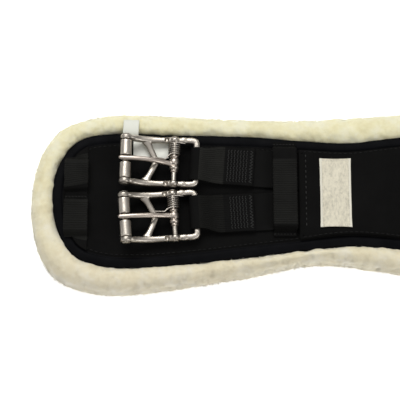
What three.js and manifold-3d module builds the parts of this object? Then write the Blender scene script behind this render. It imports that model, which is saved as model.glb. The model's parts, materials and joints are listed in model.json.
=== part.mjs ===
// Saddle girth, short dressage pattern, lying flat with its fleece side down.
// Millimetres. X runs along the girth from end to end, Y across it with the elbow cut-out on -Y,
// Z up. The origin is under the middle of the pad, on the surface it lies on.
// Both ends are alike: two spring-tongue roller buckles each, sewn on two load webs that run
// the whole length of the girth on top of the padded cover.

import * as THREE from "three";
import { mergeVertices } from "three/addons/utils/BufferGeometryUtils.js";
import Module from "manifold-3d";

const wasm = await Module();
wasm.setup();

// ---------------------------------------------------------------- driving dimensions

const GAP = 0.3; // clearance between pieces that lie on each other

// Outlines in plan: left half, from the middle of the +Y edge round the end to the middle of the -Y edge.
const FLEECE_EDGE = [
  [0, 73], [-60, 71], [-112, 66.6], [-165, 63.8], [-220, 64.5], [-283, 67.9],
  [-325.5, 65.1], [-351.5, 52.8], [-365.6, 28.5], [-369.8, -5], [-365, -36.3], [-351.5, -59.2],
  [-327.5, -69.8], [-303, -72.4], [-258, -67.6], [-205, -58.6], [-152, -48.7], [-108, -53],
  [-60, -61.5], [0, -66.7],
];
const COVER_EDGE = [
  [0, 53.6], [-50, 52], [-92, 48.3], [-128, 44.2], [-165, 46.1], [-201, 49], [-256, 50.5], [-306, 51.7],
  [-329, 48.3], [-341, 40], [-350.6, 23], [-353.6, 6.5], [-353.1, -9], [-349, -26],
  [-340.5, -41.5], [-329, -49.4], [-310.8, -54], [-282.7, -54.6], [-247, -51.7], [-201, -46.2],
  [-165, -42.1], [-128, -37.9], [-92, -40.4], [-45, -47.3], [0, -51.2],
];
const OUTLINE_STEPS = 76;

const FLEECE_HEIGHT = 33; // top of the fleece roll round the edge
const FLEECE_FLOOR = 12; // pile under the pad
const FLEECE_ROUNDING = 11;
const CLOTH = 0.8;
const FOAM = 11.4;
const COVER = 5.3;

const WEB_WIDTH = 29.8;
const WEB_THICK = 2;
const WEB_SPREAD_FROM = 165; // distance from the middle where the two webs start to part
const WEB_END = 79; // from there to the axis of the buckle's rear bar
const WEB_TAIL = 44; // length of the folded tail
const WEB_MIDDLE_Y = 5.3;

const BAR_RADIUS = 2.3;
const BAR_CLEARANCE = 0.8;

const PANEL_HALF_LENGTH = 166;
const SEAM_INSET = 8.6; // from the cover's edge to the seam that takes in the panel and the outer keepers
const PANEL_THICK = 1.5;

const KEEPER_LENGTH = 19; // along the girth
const KEEPER_THICK = 1.8;
const KEEPER_RISE = 4; // width over which a keeper climbs from its sewn foot
const BILLET_ROOM = 5.5; // free height for a leather billet in a keeper

// Buckle, in its own frame: x from the rear bar towards the roller, y along the bar, z up.
const BUCKLE_INNER_WIDTH = 30.6;
const SIDE_THICK = 3.8;
const PIVOT = { x: 16.7, z: 1.2, pin: 1.9 };
const ROLLER = { x: 53.5, z: 6, pin: 2, radius: 4.3, notch: 5.4 };
const PIN_CLEARANCE = 0.35;
const TONGUE_WIDTH = 3.2;
const TONGUE_END_X = 58.6;
const BARREL = { radius: 3, from: -5, to: 8.3 };
const SPRING = { wire: 0.5, radius: 4.2, turns: 5, perTurn: 8, from: -14.3, to: -5.9 };

// Height of each layer.
const CLOTH_Z = FLEECE_FLOOR + GAP;
const FOAM_Z = CLOTH_Z + CLOTH + GAP;
const COVER_Z = FOAM_Z + FOAM + GAP;
const COVER_TOP = COVER_Z + COVER;
const WEB_Z = COVER_TOP + GAP;
const WEB_TOP = WEB_Z + WEB_THICK;
const BAR_Z = WEB_TOP + BAR_CLEARANCE + BAR_RADIUS;
const PANEL_TOP = WEB_TOP + GAP + PANEL_THICK;

// The two rows of buckles, on +Y and -Y: the angle at which each web runs out to its buckle, and the
// angle at which the buckle hangs in the web's loop.
const ROWS = [
  { name: "far", side: 1, splay: THREE.MathUtils.degToRad(4), yaw: THREE.MathUtils.degToRad(1.6) },
  { name: "near", side: -1, splay: THREE.MathUtils.degToRad(3.5), yaw: THREE.MathUtils.degToRad(4) },
];

// The two ends, with the low X of each keeper there.
const ENDS = [
  { name: "left", side: -1, outerKeeper: -344.3, innerKeeper: -186 },
  { name: "right", side: 1, outerKeeper: 344.3 - KEEPER_LENGTH, innerKeeper: 186 - KEEPER_LENGTH },
];
const OUTER_FEET = [[-48, -30], [-0.5, 3.5], [30.5, 48]]; // sewn stretches of a keeper, in Y
const INNER_FEET = [[-30.6, -27.2], [40, 43.4]];

const TONGUE_LEAN = { far_left: 2.1 }; // play on its pin that a tongue has taken up

// ---------------------------------------------------------------- materials

function finish(color, roughness, metalness = 0) {
  return new THREE.MeshStandardMaterial({ color, roughness, metalness });
}

const FLEECE = finish(0xe3ddbf, 0.95);
const CLOTH_FINISH = finish(0x1c1c1c, 0.9);
const FOAM_FINISH = finish(0x3a3a3a, 0.9);
const COVER_FINISH = finish(0x141414, 0.8);
const WEBBING = finish(0x21211f, 0.65);
const LABEL = finish(0xd8d2be, 0.8);
const SATIN_TAPE = finish(0xf2f2ee, 0.5);
const STAINLESS = finish(0xa89f96, 0.28, 1);
const SPRING_STEEL = finish(0x8d8a86, 0.35, 1);

// ---------------------------------------------------------------- solids

function solid(geometry) {
  const bare = geometry.clone();
  bare.deleteAttribute("normal");
  bare.deleteAttribute("uv");
  const merged = mergeVertices(bare, 1e-3);
  return new wasm.Manifold(
    new wasm.Mesh({
      numProp: 3,
      vertProperties: merged.attributes.position.array,
      triVerts: new Uint32Array(merged.index.array),
    }),
  );
}

function geometryOf(manifold) {
  const mesh = manifold.getMesh();
  const geometry = new THREE.BufferGeometry();
  geometry.setAttribute("position", new THREE.BufferAttribute(mesh.vertProperties, 3));
  geometry.setIndex(new THREE.BufferAttribute(mesh.triVerts, 1));
  geometry.computeVertexNormals();
  return geometry;
}

function join(...geometries) {
  return geometryOf(geometries.map(solid).reduce((whole, next) => whole.add(next)));
}

function cut(geometry, ...tools) {
  return geometryOf(tools.map(solid).reduce((whole, tool) => whole.subtract(tool), solid(geometry)));
}

function meet(geometry, other) {
  return geometryOf(solid(geometry).intersect(solid(other)));
}

function mesh(name, geometry, material) {
  const made = new THREE.Mesh(geometry, material);
  made.name = name;
  return made;
}

function boxBetween(low, high) {
  const size = high.map((value, i) => value - low[i]);
  const middle = high.map((value, i) => (value + low[i]) / 2);
  return new THREE.BoxGeometry(...size).translate(...middle);
}

function point(a, b) {
  return new THREE.Vector2(a, b);
}

// Points on an arc round (a, b), angles in degrees.
function arc(a, b, radius, from, to, steps) {
  return Array.from({ length: steps + 1 }, (_, i) => {
    const angle = THREE.MathUtils.degToRad(from + ((to - from) * i) / steps);
    return point(a + radius * Math.cos(angle), b + radius * Math.sin(angle));
  });
}

// A profile drawn in the X-Z plane, extruded along Y between two values, edges rounded by bevel.
function sideProfile(shape, fromY, toY, bevel = 0) {
  const geometry = new THREE.ExtrudeGeometry(shape, {
    depth: toY - fromY - 2 * bevel,
    bevelEnabled: bevel > 0,
    bevelThickness: bevel,
    bevelSize: bevel,
    bevelOffset: -bevel,
    bevelSegments: 1,
  });
  const axes = new THREE.Matrix4().makeBasis(
    new THREE.Vector3(1, 0, 0),
    new THREE.Vector3(0, 0, 1),
    new THREE.Vector3(0, -1, 0),
  );
  return geometry.translate(0, 0, bevel).applyMatrix4(axes).translate(0, toY, 0);
}

// A profile drawn in the Y-Z plane, extruded along X between two values.
function crossProfile(shape, fromX, toX) {
  const geometry = new THREE.ExtrudeGeometry(shape, { depth: toX - fromX, bevelEnabled: false });
  const axes = new THREE.Matrix4().makeBasis(
    new THREE.Vector3(0, 1, 0),
    new THREE.Vector3(0, 0, 1),
    new THREE.Vector3(1, 0, 0),
  );
  return geometry.applyMatrix4(axes).translate(fromX, 0, 0);
}

// A flat plate of a shape in plan, edges rounded by bevel.
function plate(points, fromZ, toZ, bevel = 0, bevelSegments = 1) {
  const geometry = new THREE.ExtrudeGeometry(new THREE.Shape(points), {
    depth: toZ - fromZ - 2 * bevel,
    bevelEnabled: bevel > 0,
    bevelThickness: bevel,
    bevelSize: bevel,
    bevelOffset: -bevel,
    bevelSegments,
  });
  return geometry.translate(0, 0, fromZ + bevel);
}

// A body turned about the Y axis through (x, z), from [radius, y] pairs that start and end on the axis
// or close on themselves.
function turned(profile, x, z, sides) {
  const points = profile.map(([radius, y]) => new THREE.Vector2(radius, y));
  return new THREE.LatheGeometry(points, sides).translate(x, 0, z);
}

function rod(radius, fromY, toY, x, z, sides = 12) {
  return turned([[0, fromY], [radius, fromY], [radius, toY], [0, toY]], x, z, sides);
}

// ---------------------------------------------------------------- pad

// An outline moved inwards, as points in plan.
function outline(edge, inset) {
  const left = edge.map(([x, y]) => new THREE.Vector3(x, y, 0));
  const right = left.slice(1, -1).reverse().map((p) => new THREE.Vector3(-p.x, p.y, 0));
  const curve = new THREE.CatmullRomCurve3([...left, ...right], true, "centripetal");
  return Array.from({ length: OUTLINE_STEPS }, (_, i) => {
    const point = curve.getPointAt(i / OUTLINE_STEPS);
    const along = curve.getTangentAt(i / OUTLINE_STEPS);
    return new THREE.Vector2(point.x - along.y * inset, point.y + along.x * inset);
  });
}

// The fleece as one body: the pile under the pad and the roll that stands round its edge.
function fleeceBody() {
  return plate(outline(FLEECE_EDGE, 0), 0, FLEECE_HEIGHT, FLEECE_ROUNDING, 2);
}

function fleeceLiner() {
  return meet(fleeceBody(), boxBetween([-400, -100, -1], [400, 100, FLEECE_FLOOR]));
}

// The roll at one end, from the middle of one long side round to the middle of the other.
function fleeceRoll(side) {
  const [low, high] = side < 0 ? [-400, -GAP / 2] : [GAP / 2, 400];
  const half = boxBetween([low, -100, FLEECE_FLOOR + GAP], [high, 100, FLEECE_HEIGHT + 1]);
  return cut(meet(fleeceBody(), half), plate(outline(COVER_EDGE, -GAP), 0, FLEECE_HEIGHT + 5));
}

// The panel is sewn over the webs, so its underside has a channel for them.
function centerPanel() {
  const sheet = plate(outline(COVER_EDGE, SEAM_INSET), WEB_Z, PANEL_TOP);
  const length = boxBetween([-PANEL_HALF_LENGTH, -80, 0], [PANEL_HALF_LENGTH, 80, 50]);
  const channelHalf = WEB_WIDTH + 2 * GAP;
  const channel = boxBetween(
    [-200, WEB_MIDDLE_Y - channelHalf, WEB_Z - 1],
    [200, WEB_MIDDLE_Y + channelHalf, WEB_TOP + GAP],
  );
  return cut(meet(sheet, length), channel);
}

// ---------------------------------------------------------------- webs and keepers

// Where a web leaves the parallel stretch at one end of the girth, and the way it points from there.
function webSplay(row, end) {
  const way = point(end.side * Math.cos(row.splay), row.side * Math.sin(row.splay));
  return { way, start: point(end.side * WEB_SPREAD_FROM, webMiddle(row)) };
}

function webMiddle(row) {
  return WEB_MIDDLE_Y + (row.side * (WEB_WIDTH + GAP)) / 2;
}

// One end of a web, from its splay: under the rear bar, round it, and back on top of itself to a sewn tail.
function webEnd(row, end) {
  const outer = BAR_RADIUS + BAR_CLEARANCE + WEB_THICK;
  const inner = BAR_RADIUS + BAR_CLEARANCE;
  const tailTop = WEB_TOP + WEB_THICK;
  const lap = 2; // runs this far into the parallel stretch
  const shape = new THREE.Shape([
    point(-lap, WEB_Z),
    ...arc(WEB_END, BAR_Z, outer, -90, 90, 7),
    point(WEB_END - 8, BAR_Z + outer - 2.4),
    point(WEB_END - 16, tailTop),
    point(WEB_END - WEB_TAIL, tailTop),
    point(WEB_END - WEB_TAIL, WEB_TOP),
    point(-lap, WEB_TOP),
  ]);
  const eye = [
    ...arc(WEB_END, BAR_Z, inner, -90, 90, 7),
    point(WEB_END - 7, BAR_Z + inner - 2.4),
    point(WEB_END - 13, WEB_TOP + 0.3),
  ];
  shape.holes.push(new THREE.Path(eye));
  const { way, start } = webSplay(row, end);
  const strip = sideProfile(shape, -WEB_WIDTH / 2, WEB_WIDTH / 2);
  return strip.rotateZ(way.angle()).translate(start.x, start.y, 0);
}

function loadWeb(row) {
  const [low, high] = [-WEB_WIDTH / 2, WEB_WIDTH / 2].map((half) => half + webMiddle(row));
  const middle = boxBetween([-WEB_SPREAD_FROM, low, WEB_Z], [WEB_SPREAD_FROM, high, WEB_TOP]);
  return join(middle, ...ENDS.map((end) => webEnd(row, end)));
}

// A band sewn down at its feet, which arches over the billets between them.
// feet are [from, to] pairs in Y, clear is the free height over the cover.
function keeper(feet, clear, fromX) {
  const low = feet[0][0];
  const high = feet.at(-1)[1];
  const stops = [low];
  for (let i = 0; i < feet.length - 1; i++) {
    const [a, b] = [feet[i][1], feet[i + 1][0]];
    stops.push(a, a + KEEPER_RISE * 0.35, a + KEEPER_RISE * 0.65, a + KEEPER_RISE);
    stops.push(b - KEEPER_RISE, b - KEEPER_RISE * 0.65, b - KEEPER_RISE * 0.35, b);
  }
  stops.push(high);
  const lift = (y) => {
    const reach = Math.min(...feet.map(([a, b]) => Math.max(a - y, y - b, 0)));
    return (clear - GAP) * THREE.MathUtils.smoothstep(reach, 0, KEEPER_RISE);
  };
  const under = stops.map((y) => point(y, WEB_Z + lift(y)));
  const over = stops.map((y) => point(y, WEB_Z + lift(y) + KEEPER_THICK)).reverse();
  return crossProfile(new THREE.Shape([...under, ...over]), fromX, fromX + KEEPER_LENGTH);
}

// The outer keeper's ends are cut to the contour of the cover, where the edge seam takes them in.
function outerKeeper(fromX) {
  return meet(keeper(OUTER_FEET, BILLET_ROOM, fromX), plate(outline(COVER_EDGE, SEAM_INSET), 0, 50));
}

// ---------------------------------------------------------------- labels

function wovenLabel() {
  return boxBetween([-12, -27, 0], [12, 27, 0.8]).translate(-138, 2.7, PANEL_TOP + GAP);
}

// Care label: a satin tape sewn in the edge seam, lying on the cover under the far left buckle.
function careLabel() {
  return boxBetween([-292, 31, WEB_Z], [-265, 46.8, WEB_Z + 0.5]);
}

// Its narrow end, turned out over the fleece roll.
function labelTab() {
  const over = FLEECE_HEIGHT + GAP;
  const route = [[47.2, WEB_Z + 0.1], [49.8, over], [56, over + 0.2], [61.5, over - 1.2]];
  const thick = 0.6;
  const shape = new THREE.Shape([
    ...route.map(([y, z]) => point(y, z)),
    ...route.map(([y, z]) => point(y, z + thick)).reverse(),
  ]);
  return crossProfile(shape, -300.2, -288.2);
}

// ---------------------------------------------------------------- buckle pieces

const SIDE_INNER = BUCKLE_INNER_WIDTH / 2;
const SIDE_OUTER = SIDE_INNER + SIDE_THICK;

// Side plate in side view: round about the rear bar, a boss at the tongue's pin, a boss at the roller's.
function sidePlate() {
  return new THREE.Shape([
    ...arc(0, 0, 3, 90, 270, 5),
    ...[[8, -2.1], [17, -2.5], [34, -2.2], [44, 0.6]].map(([x, z]) => point(x, z)),
    ...arc(ROLLER.x, ROLLER.z, 4.3, -115, 125, 8),
    ...[[45, 5.9], [35, 3.1], [27, 2.3], [21.4, 1.9]].map(([x, z]) => point(x, z)),
    ...arc(PIVOT.x, PIVOT.z, 3.4, 35, 140, 4),
    point(8, 2.6),
  ]);
}

// The bridge under the tongue: two arms that run back from the side plates and meet on the middle line.
function bridge() {
  const front = [[42.8, 16.5], [39.2, 13], [33.8, 2.4]];
  const back = [[29.4, 1.6], [34.6, 12.6], [32.6, 16.5]];
  const mirrored = (half) => half.map(([x, y]) => point(x, -y)).reverse();
  const plain = (half) => half.map(([x, y]) => point(x, y));
  const shape = [...plain(front), ...mirrored(front), ...mirrored(back), ...plain(back)];
  return plate(shape, -3.3, -0.1, 0.6);
}

function buckleFrame() {
  const plates = [-1, 1].map((side) => {
    const [from, to] = side < 0 ? [-SIDE_OUTER, -SIDE_INNER] : [SIDE_INNER, SIDE_OUTER];
    return sideProfile(sidePlate(), from, to, 0.8);
  });
  const whole = join(...plates, rod(BAR_RADIUS, -SIDE_INNER - 1, SIDE_INNER + 1, 0, 0), bridge());
  return cut(
    whole,
    rod(ROLLER.pin + GAP, -30, 30, ROLLER.x, ROLLER.z),
    rod(PIVOT.pin + GAP, -30, 30, PIVOT.x, PIVOT.z),
  );
}

// A pin through both side plates, with a domed head outside each.
function headedPin(place, headRadius, headHeight) {
  const face = SIDE_OUTER + GAP;
  const end = (side) => [
    [0, side * (face + headHeight)],
    [headRadius * 0.62, side * (face + headHeight * 0.86)],
    [headRadius, side * (face + headHeight * 0.35)],
    [headRadius, side * face],
    [place.pin, side * face],
  ];
  return turned([...end(-1), ...end(1).reverse()], place.x, place.z, 12);
}

function rollerSleeve(side) {
  const [a, b] = [ROLLER.notch / 2, SIDE_INNER - GAP];
  const bore = ROLLER.pin + PIN_CLEARANCE;
  const wall = [[bore, a], [ROLLER.radius - 0.7, a], [ROLLER.radius, a + 0.7], [ROLLER.radius, b - 0.7],
    [ROLLER.radius - 0.7, b], [bore, b], [bore, a]];
  const tube = turned(wall, ROLLER.x, ROLLER.z, 12);
  return side < 0 ? tube.rotateZ(Math.PI).translate(2 * ROLLER.x, 0, 0) : tube;
}

// Tongue in side view: from the barrel up over the bridge, to the notch between the two sleeves.
function tongueBlade() {
  const under = [[PIVOT.x + 1.9, PIVOT.z - 2.2], [24, 1.9], [33, 5.2], [45, 7.6], [TONGUE_END_X - 1.2, 8.6]];
  const tip = [[TONGUE_END_X, 9.6], [TONGUE_END_X - 0.8, 11]];
  const over = [[45, 10.3], [33, 8.1], [24, 5], [PIVOT.x, PIVOT.z + 2.8]];
  return new THREE.Shape([...under, ...tip, ...over].map(([x, z]) => point(x, z)));
}

function tongueMiddle(lean, x) {
  return (lean * (TONGUE_END_X - 5 - x)) / (TONGUE_END_X - 5 - PIVOT.x);
}

function tongue(lean) {
  const blade = sideProfile(tongueBlade(), -TONGUE_WIDTH / 2, TONGUE_WIDTH / 2, 0.7);
  const places = blade.attributes.position;
  for (let i = 0; i < places.count; i++) {
    places.setY(i, places.getY(i) + tongueMiddle(lean, places.getX(i)));
  }
  const { radius, from, to } = BARREL;
  const collar = 0.5;
  const barrel = turned(
    [[0, from], [radius + collar, from], [radius + collar, from + 1.8], [radius, from + 2.2],
      [radius, to - 2.2], [radius + collar, to - 1.8], [radius + collar, to], [0, to]],
    PIVOT.x, PIVOT.z, 12,
  );
  return cut(join(blade, barrel), rod(PIVOT.pin + PIN_CLEARANCE, -20, 20, PIVOT.x, PIVOT.z));
}

// Torsion spring round the pivot pin: one leg runs back along the frame, one forward along the tongue.
function torsionSpring(lean) {
  const { radius, turns, perTurn, from, to, wire } = SPRING;
  const coil = Array.from({ length: turns * perTurn + 1 }, (_, i) => {
    const angle = Math.PI / 2 - (i / perTurn) * 2 * Math.PI;
    const along = from + ((to - from) * i) / (turns * perTurn);
    return new THREE.Vector3(PIVOT.x + radius * Math.cos(angle), along, PIVOT.z + radius * Math.sin(angle));
  });
  const legEnd = 31;
  const besideTongue = tongueMiddle(lean, legEnd) - TONGUE_WIDTH / 2 - wire - GAP;
  const route = [
    new THREE.Vector3(8.4, from, PIVOT.z + 1.9),
    new THREE.Vector3(12.4, from, PIVOT.z + 3.7),
    ...coil,
    new THREE.Vector3(PIVOT.x + 4, to + 0.6, PIVOT.z + 4.1),
    new THREE.Vector3(25, to + (besideTongue - to) * 0.8, 5.6),
    new THREE.Vector3(legEnd, besideTongue, 6.9),
  ];
  const section = new THREE.Shape(
    Array.from({ length: 6 }, (_, i) => {
      const angle = (i / 6) * 2 * Math.PI;
      return point(wire * Math.cos(angle), wire * Math.sin(angle));
    }),
  );
  return new THREE.ExtrudeGeometry(section, {
    steps: route.length + 6,
    extrudePath: new THREE.CatmullRomCurve3(route),
    bevelEnabled: false,
  });
}

function buckle(row, end) {
  const group = new THREE.Group();
  const name = `${row.name}_${end.name}`;
  const lean = TONGUE_LEAN[name] ?? 0;
  group.add(
    mesh(`${name}_buckle_frame`, buckleFrame(), STAINLESS),
    mesh(`${name}_roller_pin`, headedPin(ROLLER, 3.4, 0.9), STAINLESS),
    mesh(`${name}_tongue_pin`, headedPin(PIVOT, 2.7, 0.7), STAINLESS),
    mesh(`${name}_roller_sleeve_a`, rollerSleeve(-1), STAINLESS),
    mesh(`${name}_roller_sleeve_b`, rollerSleeve(1), STAINLESS),
    mesh(`${name}_tongue`, tongue(lean), STAINLESS),
    mesh(`${name}_tongue_spring`, torsionSpring(lean), SPRING_STEEL),
  );
  const { way, start } = webSplay(row, end);
  const bar = way.clone().multiplyScalar(WEB_END).add(start);
  group.position.set(bar.x, bar.y, BAR_Z);
  group.rotation.z = point(end.side * Math.cos(row.yaw), row.side * Math.sin(row.yaw)).angle();
  return group;
}

// ---------------------------------------------------------------- girth

const girth = new THREE.Group();
girth.add(
  mesh("fleece_liner", fleeceLiner(), FLEECE),
  mesh("lining_cloth", plate(outline(COVER_EDGE, 0), CLOTH_Z, CLOTH_Z + CLOTH), CLOTH_FINISH),
  mesh("foam_core", plate(outline(COVER_EDGE, 0.7), FOAM_Z, FOAM_Z + FOAM, 2), FOAM_FINISH),
  mesh("cover_top", plate(outline(COVER_EDGE, 0), COVER_Z, COVER_TOP, 1.5), COVER_FINISH),
  mesh("center_panel", centerPanel(), COVER_FINISH),
  mesh("woven_label", wovenLabel(), LABEL),
  mesh("care_label", careLabel(), SATIN_TAPE),
  mesh("care_label_tab", labelTab(), SATIN_TAPE),
);
for (const row of ROWS) girth.add(mesh(`${row.name}_load_web`, loadWeb(row), WEBBING));
for (const end of ENDS) {
  const overWebs = WEB_THICK + GAP + BILLET_ROOM;
  girth.add(
    mesh(`fleece_roll_${end.name}`, fleeceRoll(end.side), FLEECE),
    mesh(`${end.name}_outer_keeper`, outerKeeper(end.outerKeeper), WEBBING),
    mesh(`${end.name}_inner_keeper`, keeper(INNER_FEET, overWebs, end.innerKeeper), WEBBING),
  );
  for (const row of ROWS) girth.add(buckle(row, end));
}

export default girth;
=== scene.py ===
import json
import math

import bmesh
import bpy
import numpy as np
from mathutils import Matrix, Vector, noise
from mathutils.bvhtree import BVHTree
from mathutils.geometry import delaunay_2d_cdt


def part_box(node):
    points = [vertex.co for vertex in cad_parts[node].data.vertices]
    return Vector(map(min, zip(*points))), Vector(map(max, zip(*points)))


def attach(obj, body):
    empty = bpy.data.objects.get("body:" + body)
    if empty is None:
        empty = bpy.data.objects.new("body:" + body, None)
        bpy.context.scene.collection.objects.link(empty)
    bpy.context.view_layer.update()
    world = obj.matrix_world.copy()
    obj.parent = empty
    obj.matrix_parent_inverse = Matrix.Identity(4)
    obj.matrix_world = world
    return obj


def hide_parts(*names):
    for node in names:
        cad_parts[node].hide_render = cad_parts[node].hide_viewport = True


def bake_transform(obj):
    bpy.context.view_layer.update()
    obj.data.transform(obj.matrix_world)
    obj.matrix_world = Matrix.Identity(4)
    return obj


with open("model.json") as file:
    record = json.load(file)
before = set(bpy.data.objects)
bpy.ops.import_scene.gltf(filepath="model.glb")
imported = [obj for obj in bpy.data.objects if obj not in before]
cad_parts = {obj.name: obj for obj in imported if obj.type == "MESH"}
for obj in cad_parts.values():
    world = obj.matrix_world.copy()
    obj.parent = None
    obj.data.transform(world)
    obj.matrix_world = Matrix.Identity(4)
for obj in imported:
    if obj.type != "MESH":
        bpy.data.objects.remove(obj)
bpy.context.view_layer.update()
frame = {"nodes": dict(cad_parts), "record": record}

# Saddle girth, lying fleece down. Lengths in the code are millimetres and become metres in add_mesh.
MM = 0.001
RNG = np.random.default_rng(7)

# Outlines in plan: left half, from the middle of the +Y edge round the end to the middle of the -Y edge.
FLEECE_EDGE = [
    (0, 73), (-60, 71), (-112, 66.6), (-165, 63.8), (-220, 64.5), (-283, 67.9),
    (-325.5, 65.1), (-351.5, 52.8), (-365.6, 28.5), (-369.8, -5), (-365, -36.3), (-351.5, -59.2),
    (-327.5, -69.8), (-303, -72.4), (-258, -67.6), (-205, -58.6), (-152, -48.7), (-108, -53),
    (-60, -61.5), (0, -66.7),
]
COVER_EDGE = [
    (0, 53.6), (-50, 52), (-92, 48.3), (-128, 44.2), (-165, 46.1), (-201, 49), (-256, 50.5), (-306, 51.7),
    (-329, 48.3), (-341, 40), (-350.6, 23), (-353.6, 6.5), (-353.1, -9), (-349, -26),
    (-340.5, -41.5), (-329, -49.4), (-310.8, -54), (-282.7, -54.6), (-247, -51.7), (-201, -46.2),
    (-165, -42.1), (-128, -37.9), (-92, -40.4), (-45, -47.3), (0, -51.2),
]
PAD_TOP = 30.7
GROOVE = 8.3  # from the cover's edge to the contour line sewn round it
PANEL_HALF = 166.0
WEB_WIDTH, WEB_MIDDLE = 29.8, 5.3
SPREAD_FROM = 165.0  # x at which the two webs start to part
WEB_END, WEB_TAIL = 79.0, 44.0  # from there to the rear bar, and the length of the tail folded back
ROWS = {"far": (1, 4.0), "near": (-1, 3.5)}  # side of the middle line, degrees that the web splays
ENDS = {"left": -1, "right": 1}
OUTER_KEEPERS = {"left": -344.3, "right": 325.3}  # each one's least x
INNER_KEEPERS = {"left": -186.0, "right": 167.0}
KEEPER_HALF = 9.5


# ---------------------------------------------------------------- curves

def spline(points, count, closed=False):
    """Centripetal Catmull-Rom curve through points, as count points evenly spaced along it."""
    p = np.array(points, float)
    n = len(p)
    if closed:
        p = np.vstack([p[-1], p, p[0], p[1]])
        spans = n
    else:
        p = np.vstack([2 * p[0] - p[1], p, 2 * p[-1] - p[-2]])
        spans = n - 1
    t = np.linspace(0, 1, 40, endpoint=False)[:, None]
    out = []
    for i in range(spans):
        a, b, c, d = p[i : i + 4]
        u, v, w = (max(np.linalg.norm(s) ** 0.5, 1e-4) for s in (b - a, c - b, d - c))
        m = ((b - a) / u - (c - a) / (u + v) + (c - b) / v) * v
        k = ((c - b) / v - (d - b) / (v + w) + (d - c) / w) * v
        out.append(b + m * t + (-3 * b + 3 * c - 2 * m - k) * t**2 + (2 * b - 2 * c + m + k) * t**3)
    out.append(p[-3 if closed else -2][None])
    if closed:
        out[-1] = p[1][None]
    return resample(np.vstack(out), count, closed)


def lengths(path):
    """Distance along a path to each of its points."""
    return np.concatenate([[0], np.cumsum(np.linalg.norm(np.diff(path, axis=0), axis=1))])


def resample(path, count, closed=False):
    s = lengths(path)
    at = np.linspace(0, s[-1], count + 1)[:-1] if closed else np.linspace(0, s[-1], count)
    return np.column_stack([np.interp(at, s, p) for p in path.T])


def smoothstep(x, a, b):
    t = np.clip((x - a) / (b - a), 0, 1)
    return t * t * (3 - 2 * t)


def circle(count):
    """Angles evenly round a circle."""
    return np.linspace(0, 2 * math.pi, count, endpoint=False)


def unit(v):
    return v / np.maximum(np.linalg.norm(v, axis=-1, keepdims=True), 1e-9)


def outline(edge, inset, count):
    """An outline moved inwards by inset, as count points, anticlockwise from above."""
    half = np.array(edge, float)
    whole = np.vstack([half, half[1:-1][::-1] * [-1, 1]])
    p = spline(whole, count, closed=True)
    return p + inward_of(p) * inset


def inward_of(loop):
    way = unit(np.roll(loop, -1, axis=0) - np.roll(loop, 1, axis=0))
    return np.stack([-way[:, 1], way[:, 0]], axis=1)


COVER_LINE = outline(COVER_EDGE, 0, 600)


def inset_of(x, y):
    """How far inside the cover's edge each point lies."""
    q = np.stack([np.ravel(x), np.ravel(y)], axis=1)
    best = np.full(len(q), 1e9)
    for i in range(0, len(q), 4000):
        gap = q[i : i + 4000, None] - COVER_LINE[None]
        best[i : i + 4000] = np.sqrt((gap**2).sum(axis=2).min(axis=1))
    return best.reshape(np.shape(x))


def fractal(points, size):
    """Two octaves of noise at each point, about -1 to 1, with features of about that size."""
    return np.array([noise.fractal(Vector(p) / size, 0.6, 2.1, 2) for p in points])


def soft_noise(points, size):
    return np.array([noise.noise(Vector(p) / size) for p in points])


def ripple(x, y, size_x, size_y, layer):
    """Smooth noise in plan, with features of about size_x by size_y. Each layer is a pattern of its own."""
    x, y = np.broadcast_arrays(x, y)
    values = [noise.noise(Vector((a / size_x, b / size_y, layer))) for a, b in zip(x.ravel(), y.ravel())]
    return np.reshape(values, x.shape)


def rounded(across, flat, least):
    """Half thickness of a strap over -1 to 1 of its width, 1 on the flat part and falling to its edges."""
    return np.sqrt(np.clip(1 - ((np.abs(across) - flat) / (1 - flat)).clip(0, 1) ** 2, least, 1))


# ---------------------------------------------------------------- meshes

def linked(name, data):
    """A new object in the scene."""
    made = bpy.data.objects.new(name, data)
    bpy.context.scene.collection.objects.link(made)
    return made


def add_mesh(name, points, faces):
    data = bpy.data.meshes.new(name)
    data.from_pydata((np.asarray(points, float) * MM).tolist(), [], [list(map(int, f)) for f in faces])
    data.validate()
    data.shade_smooth()
    return linked(name, data)


def grid(points, wrap_u=False, wrap_v=False, start=0):
    """Vertices and quads of a U x V x 3 array of points, numbered from start."""
    u, v = points.shape[:2]
    index = np.arange(u * v).reshape(u, v) + start
    if wrap_u:
        index = np.vstack([index, index[:1]])
    if wrap_v:
        index = np.hstack([index, index[:, :1]])
    quads = np.stack([index[:-1, :-1], index[1:, :-1], index[1:, 1:], index[:-1, 1:]], axis=-1)
    return points.reshape(-1, 3), quads.reshape(-1, 4).tolist()


def joined(parts):
    """One list of vertices and faces from several."""
    points, faces, start = [], [], 0
    for p, f in parts:
        points.append(p)
        faces += [[i + start for i in face] for face in f]
        start += len(p)
    return np.vstack(points), faces


def solid(name, points, faces):
    """A closed mesh with all its faces turned to point out."""
    obj = add_mesh(name, points, faces)
    b = bmesh.new()
    b.from_mesh(obj.data)
    bmesh.ops.recalc_face_normals(b, faces=b.faces)
    b.to_mesh(obj.data)
    b.free()
    return obj


def capped(points):
    """A closed tube: rings of points (U x V x 3) with both ends filled."""
    verts, faces = grid(points, wrap_v=True)
    u, v = points.shape[:2]
    return verts, faces + [list(range(v))[::-1], list(range((u - 1) * v, u * v))]


def frames_along(path, up=(0, 0, 1)):
    """Across and up vectors along a path, with across square to a given up."""
    way = unit(np.gradient(path, axis=0))
    across = unit(np.cross(np.broadcast_to(np.array(up, float), way.shape), way))
    return across, unit(np.cross(way, across))


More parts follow.
